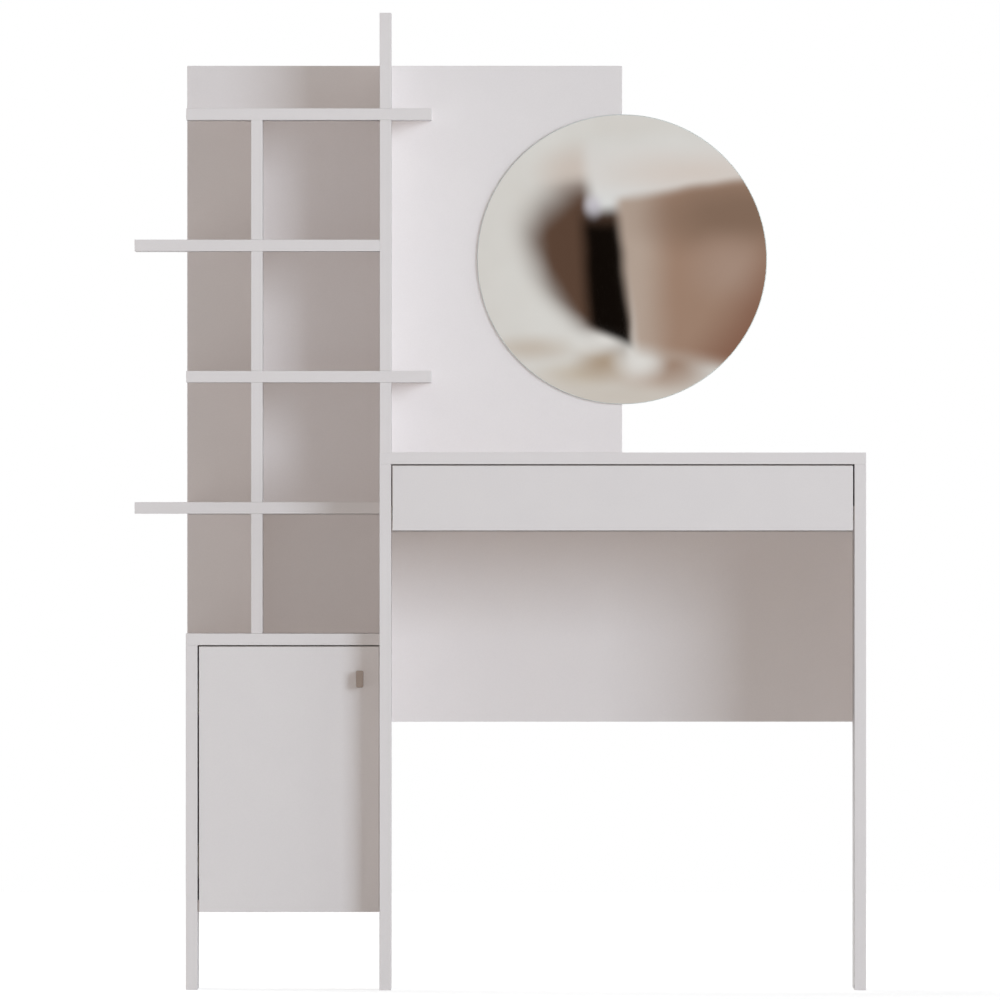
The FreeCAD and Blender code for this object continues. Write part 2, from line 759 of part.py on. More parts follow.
def in_plane(point, axis):
    """The two of a point's coordinates that lie in the plane square to an axis."""
    return tuple(point[AXES.index(letter)] for letter in PLANE[axis][2])


def build_board(label, low, high, eased):
    """Pad a board from its broad face, ease its edges, then cut its slots and holes."""
    body = new_body(label, low)
    size = local(high, low)
    axis = min(AXES, key=lambda letter: value(size[AXES.index(letter)]))
    outline = new_sketch(body, "outline", axis)
    draw_rectangle(outline, ("0", "0"), in_plane(size, axis))
    block = pad(body, outline, size[AXES.index(axis)], backward=PLANE[axis][1] == "-")
    if eased:
        ease_box(body, block)
    for index, (face, near, far, depth) in enumerate(notches.get(label, [])):
        cut_notch(body, index, face, local(near, low), local(far, low), size, depth)
    for index, ((face, diameter, depth), points) in enumerate(holes.get(label, {}).items()):
        cut_holes(body, index, face, [local(point, low) for point in points], size, diameter, depth)
    pieces.append(body)


def face_level(face, size):
    return size[AXES.index(face[1])] if face[0] == "+" else "0"


def cut_notch(body, index, face, near, far, size, depth):
    axis = face[1]

    def draw(sketch):
        draw_rectangle(sketch, in_plane(near, axis), in_plane(far, axis))

    face_pocket(body, f"slot_{index}", face, face_level(face, size), draw, depth)


def cut_holes(body, index, face, points, size, diameter, depth):
    centres = [in_plane(point, face[1]) for point in points]
    round_pockets(body, f"holes_{index}", face, face_level(face, size), centres, diameter, depth)


for label, (low, high) in BOARDS.items():
    build_board(label, low, high, eased=True)
for label, (low, high) in PANELS.items():
    build_board(label, low, high, eased=False)


# Mirror

def build_mirror():
    """A glass disc with its two rims ground to a small arris."""
    body = new_body("mirror_glass", ("mirror_x", "tape_front", "mirror_z"))
    sketch = new_sketch(body, "disc", "y")
    draw_circles(sketch, MIDDLE, "mirror_diameter")
    disc = pad(body, sketch, "mirror_thickness")
    doc.recompute()
    rims = [f"Edge{index + 1}" for index, edge in enumerate(disc.Shape.Edges) if edge.isClosed()]
    arris = body.newObject("PartDesign::Chamfer", "mirror_arris")
    arris.Base = (disc, rims)
    bind(arris, "Size", "mirror_arris")
    pieces.append(body)


# Screws

def screw_pattern(label, head, cap, shank, length):
    """A screw with its head's top at the origin and its point along Z, with a cross recess."""
    tip = f"{cap} + {length}"
    body = turned(label, [
        ("0", "0"), (f"{head} / 2", "0"), (f"{head} / 2", cap), (f"{shank} / 2", cap),
        (f"{shank} / 2", f"{tip} - {shank} / 2"), ("0", tip),
    ])
    cross_recess(body, f"0.3 * {head}", f"0.08 * {head}", f"0.6 * {cap}", "-z", "0")
    return body


def cross_recess(body, arm, half_width, depth, face, level):
    """A cross cut into a flat end, its arms along the two axes of that end."""
    quarter = [(arm, half_width), (half_width, half_width), (half_width, arm)]
    corners = []
    for turn in range(4):
        for across, up in quarter:
            corners.append([(across, up), (f"-({up})", across), (f"-({across})", f"-({up})"),
                            (up, f"-({across})")][turn])
    face_pocket(body, "cross", face, level, lambda sketch: draw_outline(sketch, corners), depth)


# Roller slides

AXLE_HOLE = "axle_tenon + tight_clearance"


def build_rail(label, place, sign):
    """The rail on a desk side: a lipped channel, with only its web left at the front for the roller."""
    body = new_body(label, (place, "rail_front", "slide_low"))
    wide, lip, tall, sheet_in = "rail_width", "rail_lip", "rail_height", "sheet_steel"
    lower = [("0", "0"), (wide, "0"), (wide, lip), (f"{wide} - {sheet_in}", lip),
             (f"{wide} - {sheet_in}", sheet_in), (sheet_in, sheet_in)]
    upper = [(across, f"{tall} - ({up})") for across, up in reversed(lower)]
    section = new_sketch(body, "section", "y")
    draw_outline(section, [(f"{sign} * ({across})", up) for across, up in lower + upper])
    pad(body, section, "rail_length", backward=True)

    def clear_tab(sketch):
        draw_rectangle(sketch, (f"{sign} * {sheet_in}", "-edge_radius"),
                       (f"{sign} * ({wide} + edge_radius)", "rail_tab"))

    face_pocket(body, "tab", "+z", tall, clear_tab, tall)
    web_face = "+x" if sign == "1" else "-x"
    level = f"{sign} * {sheet_in}"
    screws = [(f"{at} - rail_front", f"{tall} / 2") for at in rail_screw_ys]
    round_pockets(body, "screw_holes", web_face, level, screws, SMALL_HOLE, sheet_in)
    axle = [("front_roller_inset", "front_roller_z - slide_low")]
    round_pockets(body, "axle_hole", web_face, level, axle, AXLE_HOLE, sheet_in)
    pieces.append(body)


def build_runner(label, place, sign):
    """The runner under a drawer side: a flange below the side, a web beside it, a flange over the rail."""
    body = new_body(label, (place, "front_back", "slide_low"))
    web, foot, tall, sheet_in = "slide_space", "slide_space + drawer_board", "runner_height", "sheet_steel"
    corners = [(f"{web} - {sheet_in}", "0"), (foot, "0"), (foot, sheet_in), (web, sheet_in), (web, tall),
               (f"{web} - runner_reach", tall), (f"{web} - runner_reach", f"{tall} - {sheet_in}"),
               (f"{web} - {sheet_in}", f"{tall} - {sheet_in}")]
    section = new_sketch(body, "section", "y")
    draw_outline(section, [(f"{sign} * ({across})", up) for across, up in corners])
    pad(body, section, "slide_length", backward=True)
    screws = [(f"{sign} * runner_screw_line", f"{at} - front_back") for at in runner_screw_ys]
    round_pockets(body, "screw_holes", "-z", "0", screws, SMALL_HOLE, sheet_in)
    axle = [("rear_roller_y - front_back", "rear_roller_z - slide_low")]
    inward = "-x" if sign == "1" else "+x"
    level = f"{sign} * ({web} - {sheet_in})"
    round_pockets(body, "axle_hole", inward, level, axle, AXLE_HOLE, sheet_in)
    pieces.append(body)


def build_slides():
    """Rails, runners, rollers and axles, each side the mirror image of the other."""
    collar, shaft, tenon = "axle_collar / 2", "axle_diameter / 2", "axle_tenon / 2"
    cap = "axle_collar_height + roller_width + 2 * axle_end_gap"
    bore = "axle_diameter / 2 + axle_clearance"
    rim = "roller_diameter / 2"
    roller_profile = [(bore, "0"), (f"{rim} - roller_bevel", "0"), (rim, "roller_bevel"),
                      (rim, "roller_width - roller_bevel"), (f"{rim} - roller_bevel", "roller_width"),
                      (bore, "roller_width")]
    front_axle = turned("front_axle_pattern", [
        ("0", "-sheet_steel"), (tenon, "-sheet_steel"), (tenon, "0"), (collar, "0"),
        (collar, "axle_collar_height"), (shaft, "axle_collar_height"), (shaft, cap), (collar, cap),
        (collar, f"{cap} + axle_cap_height"), ("0", f"{cap} + axle_cap_height"),
    ])
    # The rear axle starts at the runner's web and reaches back to the roller's far face
    rear_collar = "slide_space - sheet_steel - roller_start - roller_width - axle_end_gap"
    rear_axle = turned("rear_axle_pattern", [
        ("0", "-sheet_steel"), (tenon, "-sheet_steel"), (tenon, "0"), (collar, "0"), (collar, rear_collar),
        (shaft, rear_collar), (shaft, f"{rear_collar} + axle_end_gap + roller_width"),
        ("0", f"{rear_collar} + axle_end_gap + roller_width"),
    ])
    roller = turned("roller_pattern", roller_profile)
    doc.recompute()
    front_axles = []
    rear_axles = []
    for side, place, sign in (("left", "knee_left", "1"), ("right", "knee_right", "-1")):
        build_rail(f"slide_rail_{side}", place, sign)
        build_runner(f"slide_runner_{side}", place, sign)
        inward = "+x" if sign == "1" else "-x"
        outward = opposite(inward)
        start = shifted((place, "front_roller_y", "front_roller_z"), inward, "roller_start")
        copies(f"front_roller_{side}", roller, [along(start, inward)])
        start = shifted((place, "rear_roller_y", "rear_roller_z"), inward, "roller_start")
        copies(f"rear_roller_{side}", roller, [along(start, inward)])
        web = shifted((place, "front_roller_y", "front_roller_z"), inward, "sheet_steel")
        front_axles.append(along(web, inward))
        web = shifted((place, "rear_roller_y", "rear_roller_z"), inward, "slide_space - sheet_steel")
        rear_axles.append(along(web, outward))
    copies("front_axles", front_axle, front_axles)
    copies("rear_axles", rear_axle, rear_axles)


# Concealed hinges

def build_hinge_cup(label, height):
    """The cup in the door's back: a drawn cup with a rim, two screw wings and cross holes for the pin."""
    body = new_body(label, ("cup_x", "door_back", height))
    cup = new_sketch(body, "cup", "y")
    draw_circles(cup, MIDDLE, "cup_diameter - hole_clearance")
    pad(body, cup, "cup_depth - hole_clearance")
    rim = new_sketch(body, "rim", "y")
    draw_circles(rim, MIDDLE, "cup_diameter + 2 * cup_rim")
    pad(body, rim, "cup_flange", backward=True)
    wings = new_sketch(body, "wings", "y")
    draw_rectangle(wings, ("cup_screw_offset - hinge_wing / 2", "-cup_screw_pitch / 2 - hinge_wing / 2"),
                   ("cup_screw_offset + hinge_wing / 2", "cup_screw_pitch / 2 + hinge_wing / 2"))
    pad(body, wings, "cup_flange", backward=True)
    round_pockets(body, "hollow", "+y", "cup_flange", MIDDLE, "cup_diameter - hole_clearance - 2 * cup_wall",
                  "cup_flange + cup_depth - hole_clearance - cup_wall")
    screws = [("cup_screw_offset", f"{sign}cup_screw_pitch / 2") for sign in ("", "-")]
    round_pockets(body, "screw_holes", "+y", "cup_flange", screws, SMALL_HOLE, "cup_flange")
    pin = [("pin_x - cup_x", "pin_y - door_back")]
    bore = "hinge_pin + tight_clearance"
    round_pockets(body, "pin_holes", "+z", "cup_diameter / 2", pin, bore, "cup_diameter")
    pieces.append(body)


def build_hinge_arm(label, height):
    """The arm: a bent strip that reaches round the door's edge from the plate to the eye on the pin."""
    body = new_body(label, ("pin_x", "pin_y", height))
    half, strip, reach = "hinge_arm_strip / 2", "hinge_arm_strip", "hinge_arm_reach"
    end = "arm_back + hinge_arm_length"
    outline = new_sketch(body, "outline", "z")
    draw_outline(outline, [
        ("0", f"-{half}"), (f"{reach} + {strip}", f"-{half}"), (f"{reach} + {strip}", f"arm_back + {strip}"),
        (f"plate_top + {strip}", f"arm_back + {strip}"), (f"plate_top + {strip}", end), ("plate_top", end),
        ("plate_top", "arm_back"), (reach, "arm_back"), (reach, half), ("0", half),
    ])
    pad(body, outline, "hinge_arm_width", symmetric=True)
    eye = new_sketch(body, "eye", "z")
    draw_circles(eye, MIDDLE, "hinge_eye")
    pad(body, eye, "hinge_arm_width", symmetric=True)
    bore = "hinge_pin + hole_clearance"
    round_pockets(body, "bore", "+z", "hinge_arm_width / 2", MIDDLE, bore, "hinge_arm_width")
    screw = [("plate_middle - pin_y", "0")]
    round_pockets(body, "screw_hole", "+x", f"plate_top + {strip}", screw, SMALL_HOLE, strip)
    pieces.append(body)


def build_hinge_plate(label, height):
    """The plate on the cabinet side: a thin base with two screw wings and a raised seat for the arm."""
    body = new_body(label, ("cabinet_inner", "plate_middle", height))
    base = new_sketch(body, "base", "x")
    draw_rectangle(base, ("-hinge_wing / 2", "-hinge_plate_screw_pitch / 2 - hinge_wing / 2"),
                   ("hinge_wing / 2", "hinge_plate_screw_pitch / 2 + hinge_wing / 2"))
    pad(body, base, "hinge_plate_base")
    seat = new_sketch(body, "seat", "x")
    draw_rectangle(seat, ("-0.4 * hinge_arm_length", "-hinge_arm_width / 2"),
                   ("0.4 * hinge_arm_length", "hinge_arm_width / 2"))
    pad(body, seat, "hinge_plate_height")
    screws = [("0", f"{sign}hinge_plate_screw_pitch / 2") for sign in ("", "-")]
    round_pockets(body, "screw_holes", "+x", "hinge_plate_base", screws, SMALL_HOLE, "hinge_plate_base")
    top = "hinge_plate_height"
    round_pockets(body, "arm_screw_hole", "+x", top, MIDDLE, SMALL_HOLE, top)
    pieces.append(body)


def build_hinges():
    """Two hinges, each pin as long as the cup's chord lets it be."""
    radius, end = "hinge_pin / 2", "pin_half_length"
    pin = turned("hinge_pin_pattern", [("0", f"-{end}"), (radius, f"-{end}"), (radius, end), ("0", end)])
    doc.recompute()
    heights = {"upper": "upper_hinge_z", "lower": "lower_hinge_z"}
    for name, height in heights.items():
        build_hinge_cup(f"hinge_cup_{name}", height)
        build_hinge_arm(f"hinge_arm_{name}", height)
        build_hinge_plate(f"hinge_plate_{name}", height)
    copies("hinge_pins", pin, [along(("pin_x", "pin_y", height), "+z") for height in heights.values()])


# Door knob

def build_knob():
    """An upright block knob on a narrower stem, its corners and front rim eased."""
    body = new_body("door_knob", ("knob_x", "cabinet_front", "knob_z"))
    stem = new_sketch(body, "stem", "y")
    draw_rectangle(stem, ("knob_stem_inset - knob_width / 2", "3 * knob_stem_inset - knob_height / 2"),
                   ("knob_width / 2 - knob_stem_inset", "knob_height / 2 - 3 * knob_stem_inset"))
    pad(body, stem, "knob_stem")
    head = new_sketch(body, "head", "y", "-knob_stem")
    draw_rectangle(head, ("-knob_width / 2", "-knob_height / 2"), ("knob_width / 2", "knob_height / 2"))
    block = pad(body, head, "knob_projection - knob_stem")
    doc.recompute()
    front = value("knob_edge - knob_projection")
    corners = [f"Edge{index + 1}" for index, edge in enumerate(block.Shape.Edges)
               if abs(edge.tangentAt(edge.FirstParameter).y) > 0.99 and edge.BoundBox.YMin < front]
    rounded = body.newObject("PartDesign::Fillet", "knob_corners")
    rounded.Base = (block, corners)
    bind(rounded, "Radius", "knob_corner")
    doc.recompute()
    rim = [f"Edge{index + 1}" for index, edge in enumerate(rounded.Shape.Edges)
           if edge.BoundBox.YMax < front]
    eased = body.newObject("PartDesign::Fillet", "knob_rim")
    eased.Base = (rounded, rim)
    bind(eased, "Radius", "knob_edge")
    round_pockets(body, "screw_hole", "+y", "0", MIDDLE, KNOB_HOLE, "knob_screw_bite + hole_end_gap")
    pieces.append(body)


# Fasteners

def build_cams():
    """Cam housings with a mouth for the bolt's head, and the bolts with their necks and heads."""
    housing = new_body("cam_pattern")
    disc = new_sketch(housing, "disc", "z", "-cam_sink")
    draw_circles(disc, MIDDLE, "cam_diameter")
    pad(housing, disc, "cam_depth - cam_sink", backward=True)
    round_pockets(housing, "mouth", "+x", "cam_diameter / 2", [("0", "-half_board")],
                  "cam_bolt_hole - hole_clearance", "cam_diameter / 2 + cam_bolt_head")
    arm, half_width, depth = "0.3 * cam_diameter", "0.06 * cam_diameter", "0.15 * cam_diameter"
    cross_recess(housing, arm, half_width, depth, "+z", "-cam_sink")
    thread, shank, neck = "0.5 * cam_bolt_thread", "0.4 * cam_bolt_hole", "0.4 * cam_bolt_thread"
    head_end = "cam_bolt_head / 2 - cam_reach"
    neck_end = f"{head_end} + cam_bolt_neck"
    bolt = turned("bolt_pattern", [
        ("0", f"{head_end} - cam_bolt_head"), (shank, f"{head_end} - cam_bolt_head"), (shank, head_end),
        (neck, head_end), (neck, neck_end), (shank, neck_end), (shank, "0"), (thread, "0"),
        (thread, "cam_bolt_bite"), ("0", "cam_bolt_bite"),
    ])
    doc.recompute()
    copies("cam_housings", housing, cams)
    copies("cam_bolts", bolt, bolts)


def dowel_pattern(label, diameter):
    radius = f"{diameter} / 2"
    tail = "dowel_bite - dowel_length"
    return turned(label, [
        ("0", tail), (f"{radius} - dowel_bevel", tail), (radius, f"{tail} + dowel_bevel"),
        (radius, "dowel_bite - dowel_bevel"), (f"{radius} - dowel_bevel", "dowel_bite"), ("0", "dowel_bite"),
    ])


def build_dowels():
    carcass = dowel_pattern("dowel_pattern", "dowel_diameter")
    drawer = dowel_pattern("drawer_dowel_pattern", "drawer_dowel_diameter")
    doc.recompute()
    copies("carcass_dowels", carcass, dowels)
    copies("drawer_dowels", drawer, drawer_dowels)


def sunk_place(point, way):
    """A sunk screw's place, its head just under the board's face."""
    return along(shifted(point, way, "hole_clearance"), way)


def build_screws():
    """Every screw, each kind in a node of its own."""
    sunk = ("board_screw_head", "board_screw_sink - hole_clearance", "board_screw_shank")
    small = ("small_screw_head", "small_screw_cap", "small_screw_shank", "small_screw_length")
    shelf = screw_pattern("shelf_screw_pattern", *sunk, "board_screw_length")
    stop = screw_pattern("stop_screw_pattern", *sunk, "stop_screw_length")
    drawer = screw_pattern("drawer_screw_pattern", *sunk, "drawer_screw_length")
    small_screw = screw_pattern("small_screw_pattern", *small)
    arm_screw = screw_pattern("arm_screw_pattern", *small[:3], "hinge_plate_height")
    knob_screw = screw_pattern("knob_screw_pattern", "knob_screw_head", "knob_screw_cap", "knob_screw_shank",
                               "board_thickness + knob_screw_bite")
    doc.recompute()
    copies("shelf_screws", shelf, [sunk_place(point, "-y") for point in shelf_screws])
    copies("stop_screws", stop, [sunk_place(point, "+x") for point in stop_screws])
    copies("drawer_screws", drawer, [sunk_place(point, opposite(face)) for point, face in drawer_screws])
    rail_places = []
    runner_places = []
    for place, inward in (("knee_left", "+x"), ("knee_right", "-x")):
        for at in rail_screw_ys:
            head = shifted((place, at, "rail_middle"), inward, "sheet_steel + small_screw_cap")
            rail_places.append(along(head, opposite(inward)))
        for at in runner_screw_ys:
            head = shifted((place, at, "slide_low - small_screw_cap"), inward, "runner_screw_line")
            runner_places.append(along(head, "+z"))
    copies("rail_screws", small_screw, rail_places)
    copies("runner_screws", small_screw, runner_places)
    cup_places = []
    plate_places = []
    arm_places = []
    cup_head = "door_back + cup_flange + small_screw_cap"
    plate_head = "cabinet_inner + hinge_plate_base + small_screw_cap"
    arm_head = "cabinet_inner + hinge_plate_height + hinge_arm_strip + small_screw_cap"
    for height in ("upper_hinge_z", "lower_hinge_z"):
        for sign in "+-":
            at = f"{height} {sign} cup_screw_pitch / 2"
            cup_places.append(along(("cup_x + cup_screw_offset", cup_head, at), "-y"))
            at = f"{height} {sign} hinge_plate_screw_pitch / 2"
            plate_places.append(along((plate_head, "plate_middle", at), "-x"))
        arm_places.append(along((arm_head, "plate_middle", height), "-x"))
    copies("hinge_cup_screws", small_screw, cup_places)
    copies("hinge_plate_screws", small_screw, plate_places)
    copies("hinge_arm_screws", arm_screw, arm_places)
    copies("knob_screw", knob_screw, [along(("knob_x", "door_back + knob_screw_cap", "knob_z"), "-y")])


build_mirror()
build_slides()
build_hinges()
build_knob()
build_cams()
build_dowels()
build_screws()
doc.recompute()

# Nothing is written unless every feature has worked
faults = [item.Name for item in doc.Objects if {"Invalid", "Error"} & set(item.State)]
for feature in doc.findObjects("PartDesign::Pocket"):
    if feature.Shape.Volume > feature.BaseFeature.Shape.Volume - 0.01:
        faults.append(f"{feature.Name} cuts nothing")
for piece in pieces:
    if piece.Shape.isNull() or not piece.Shape.isValid():
        faults.append(f"{piece.Label} has no valid shape")
if faults:
    raise RuntimeError("; ".join(faults))

os.makedirs("parts", exist_ok=True)
for piece in pieces:
    piece.Shape.exportStep(f"parts/{piece.Label}.step")
print(len(pieces), "pieces written")
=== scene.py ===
"""Looks of the dressing table: finishes for its boards and fittings, a studio and the camera."""

import json
import math

import bmesh
import bpy
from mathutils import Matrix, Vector


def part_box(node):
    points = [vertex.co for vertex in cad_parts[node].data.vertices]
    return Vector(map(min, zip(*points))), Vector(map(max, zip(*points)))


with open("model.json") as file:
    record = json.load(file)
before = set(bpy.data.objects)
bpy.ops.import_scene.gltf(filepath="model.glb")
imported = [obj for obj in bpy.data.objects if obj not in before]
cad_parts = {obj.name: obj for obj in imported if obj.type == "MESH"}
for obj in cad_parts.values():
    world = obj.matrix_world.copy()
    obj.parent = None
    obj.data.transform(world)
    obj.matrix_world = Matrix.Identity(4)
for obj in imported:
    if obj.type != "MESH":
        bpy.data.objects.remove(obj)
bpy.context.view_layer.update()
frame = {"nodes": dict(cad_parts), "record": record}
nodes = frame["nodes"]
slots = {row["node"]: row["material_slot"] for row in frame["record"]["subparts"]}
MM = 0.001


def linear(text):
    """The linear colour of an sRGB hex value."""
    channels = [int(text[start:start + 2], 16) / 255 for start in (1, 3, 5)]
    return [c / 12.92 if c <= 0.04045 else ((c + 0.055) / 1.055) ** 2.4 for c in channels] + [1.0]


def add(tree, kind, inputs=None, **settings):
    """Add a node with its settings. Each input is given a value, or is fed by another node's output."""
    node = tree.nodes.new("ShaderNode" + kind)
    for name, setting in settings.items():
        setattr(node, name, setting)
    for key, given in (inputs or {}).items():
        if isinstance(given, bpy.types.NodeSocket):
            tree.links.new(given, node.inputs[key])
        else:
            node.inputs[key].default_value = given
    return node.outputs


# A Mix node of colours keeps its factor, two colours and result at these places
FACTOR, FIRST, SECOND, RESULT = 0, 6, 7, 2


def empty_tree(owner):
    """The node tree of a material or a world, with nothing in it."""
    owner.use_nodes = True
    owner.node_tree.nodes.clear()
    return owner.node_tree


def new_finish(name, inputs):
    """A new material: its node tree, its object coordinates and its principled surface."""
    material = bpy.data.materials.new(name)
    tree = empty_tree(material)
    place = add(tree, "TexCoord")["Object"]
    surface = add(tree, "BsdfPrincipled", inputs)["BSDF"].node
    add(tree, "OutputMaterial", {"Surface": surface.outputs["BSDF"]})
    return material, tree, place, surface


def feed(tree, surface, **outputs):
    """Link outputs to the surface's inputs of the same names, which have spaces for the underscores."""
    for name, output in outputs.items():
        tree.links.new(output, surface.inputs[name.replace("_", " ")])


# Finishes

def white_melamine():
    # Melamine foil pressed on particle board: satin white with a pearl grain and a faint cloudiness.
    # The pressed grain is 0.3 mm wide and is drawn at 1.8 mm so that it shows.
    material, tree, place, surface = new_finish("white_melamine", {"IOR": 1.5})
    cloud = add(tree, "TexNoise", {"Vector": place, "Scale": 1 / (60 * MM), "Detail": 3.0})["Fac"]
    grain = add(tree, "TexNoise", {"Vector": place, "Scale": 1 / (1.8 * MM), "Detail": 2.0})["Fac"]
    paper = add(tree, "Mix", {FACTOR: cloud, FIRST: linear("#E1DDDE"), SECOND: linear("#E5E1E1")},
                data_type="RGBA")[RESULT]
    usual = {"Value": grain, "From Min": 0.3, "From Max": 0.7}
    fleck = add(tree, "MapRange", {**usual, "To Min": 0.0, "To Max": 0.18})["Result"]
    colour = add(tree, "Mix", {FACTOR: fleck, FIRST: paper, SECOND: linear("#D8D4D4")},
                 data_type="RGBA")[RESULT]
    sheen = add(tree, "MapRange", {**usual, "To Min": 0.38, "To Max": 0.5})["Result"]
    relief = add(tree, "Bump", {"Height": grain, "Strength": 0.25, "Distance": 0.03 * MM})["Normal"]
    feed(tree, surface, Base_Color=colour, Roughness=sheen, Normal=relief)
    return material


def hardboard(name, node, axis, raw_side):
    # Thin hardboard: one face lacquered white, the other raw brown with darker wood fibres.
    # The fibres are 0.3 mm wide and are drawn at 1.5 mm so that they show.
    material, tree, place, surface = new_finish(name, {"IOR": 1.5})
    low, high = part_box(node)
    index = "XYZ".index(axis)
    middle = (low[index] + high[index]) / 2
    along = add(tree, "SeparateXYZ", {"Vector": place})[index]
    raw = add(tree, "Math", {0: along, 1: middle}, operation=raw_side)["Value"]
    drawn_out = add(tree, "Mapping", {"Vector": place, "Scale": (1.0, 1.0, 0.25)})["Vector"]
    fibre = add(tree, "TexNoise", {"Vector": drawn_out, "Scale": 1 / (1.5 * MM), "Detail": 4.0,
                                   "Roughness": 0.7})["Fac"]
    blotch = add(tree, "TexNoise", {"Vector": place, "Scale": 1 / (35 * MM), "Detail": 2.0})["Fac"]
    brown = add(tree, "Mix", {FACTOR: fibre, FIRST: linear("#6F4E36"), SECOND: linear("#A98460")},
                data_type="RGBA")[RESULT]
    brown = add(tree, "Mix", {FACTOR: blotch, FIRST: brown, SECOND: linear("#8A6648")},
                data_type="RGBA")[RESULT]
    white = add(tree, "Mix", {FACTOR: blotch, FIRST: linear("#D3CFCD"), SECOND: linear("#DAD6D3")},
                data_type="RGBA")[RESULT]
    colour = add(tree, "Mix", {FACTOR: raw, FIRST: white, SECOND: brown}, data_type="RGBA")[RESULT]
    sheen = add(tree, "MapRange", {"Value": raw, "To Min": 0.4, "To Max": 0.75})["Result"]
    relief = add(tree, "Bump", {"Height": fibre, "Strength": 0.3, "Distance": 0.04 * MM})["Normal"]
    feed(tree, surface, Base_Color=colour, Roughness=sheen, Normal=relief)
    return material


def silvered_glass():
    # Float glass silvered behind: a bright mirror, a ground rim of pale grey-green and a grey painted back.
    material, tree, place, surface = new_finish("silvered_glass", {"IOR": 1.52})
    low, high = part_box("mirror_glass")
    centre = (low + high) / 2
    radius = (high.x - low.x) / 2
    arris = 1.0 * MM
    paint_depth = 0.05 * MM
    flat = add(tree, "VectorMath", {0: place, 1: (centre.x, 0.0, centre.z)}, operation="SUBTRACT")["Vector"]
    flat = add(tree, "VectorMath", {0: flat, 1: (1.0, 0.0, 1.0)}, operation="MULTIPLY")["Vector"]
    reach = add(tree, "VectorMath", {0: flat}, operation="LENGTH")["Value"]
    rim = add(tree, "Math", {0: reach, 1: radius - arris}, operation="GREATER_THAN")["Value"]
    depth = add(tree, "SeparateXYZ", {"Vector": place})["Y"]
    back = add(tree, "Math", {0: depth, 1: high.y - paint_depth}, operation="GREATER_THAN")["Value"]
    silver = add(tree, "Math", {0: 1.0, 1: rim}, operation="SUBTRACT")["Value"]
    silver = add(tree, "Math", {0: silver, 1: back}, operation="SUBTRACT", use_clamp=True)["Value"]
    haze = add(tree, "TexNoise", {"Vector": place, "Scale": 1 / (30 * MM), "Detail": 3.0})["Fac"]
    mirror = add(tree, "Mix", {FACTOR: haze, FIRST: linear("#F7F9F8"), SECOND: linear("#FAFBFA")},
                 data_type="RGBA")[RESULT]
    edge = add(tree, "Mix", {FACTOR: rim, FIRST: mirror, SECOND: linear("#D3DAD7")},
               data_type="RGBA")[RESULT]
    paint = add(tree, "Mix", {FACTOR: haze, FIRST: linear("#6E7473"), SECOND: linear("#7B8180")},
                data_type="RGBA")[RESULT]
    colour = add(tree, "Mix", {FACTOR: back, FIRST: edge, SECOND: paint}, data_type="RGBA")[RESULT]
    sheen = add(tree, "MapRange", {"Value": silver, "To Min": 0.3, "To Max": 0.015})["Result"]
    feed(tree, surface, Base_Color=colour, Metallic=silver, Roughness=sheen)
    return material


def foam_tape():
    # Closed-cell foam tape: matt white with fine round cells.
    material, tree, place, surface = new_finish("foam_tape", {"Roughness": 0.9})
    cells = add(tree, "TexVoronoi", {"Vector": place, "Scale": 1 / (0.6 * MM)})["Distance"]
    colour = add(tree, "Mix", {FACTOR: cells, FIRST: linear("#C9C8C4"), SECOND: linear("#E2E1DD")},
                 data_type="RGBA")[RESULT]
    relief = add(tree, "Bump", {"Height": cells, "Strength": 0.5, "Distance": 0.1 * MM})["Normal"]
    feed(tree, surface, Base_Color=colour, Normal=relief)
    return material


def epoxy_coat():
    # Epoxy baked on rolled steel: half-gloss white with a soft orange peel.
    material, tree, place, surface = new_finish("epoxy_coat", {"IOR": 1.5})
    peel = add(tree, "TexNoise", {"Vector": place, "Scale": 1 / (1.2 * MM), "Detail": 1.0})["Fac"]
    dust = add(tree, "TexNoise", {"Vector": place, "Scale": 1 / (18 * MM), "Detail": 4.0})["Fac"]
    colour = add(tree, "Mix", {FACTOR: dust, FIRST: linear("#CFCDC9"), SECOND: linear("#DBD9D5")},
                 data_type="RGBA")[RESULT]
    sheen = add(tree, "MapRange", {"Value": dust, "To Min": 0.22, "To Max": 0.42})["Result"]
    relief = add(tree, "Bump", {"Height": peel, "Strength": 0.2, "Distance": 0.04 * MM})["Normal"]
    feed(tree, surface, Base_Color=colour, Roughness=sheen, Normal=relief)
    return material


def nylon():
    # Moulded nylon: milky white, a little worn and greyed where it rolls.
    material, tree, place, surface = new_finish("nylon", {"IOR": 1.53})
    wear = add(tree, "TexNoise", {"Vector": place, "Scale": 1 / (3 * MM), "Detail": 4.0})["Fac"]
    colour = add(tree, "Mix", {FACTOR: wear, FIRST: linear("#BDB9AF"), SECOND: linear("#DFDCD2")},
                 data_type="RGBA")[RESULT]
    sheen = add(tree, "MapRange", {"Value": wear, "To Min": 0.35, "To Max": 0.6})["Result"]
    feed(tree, surface, Base_Color=colour, Roughness=sheen)
    return material


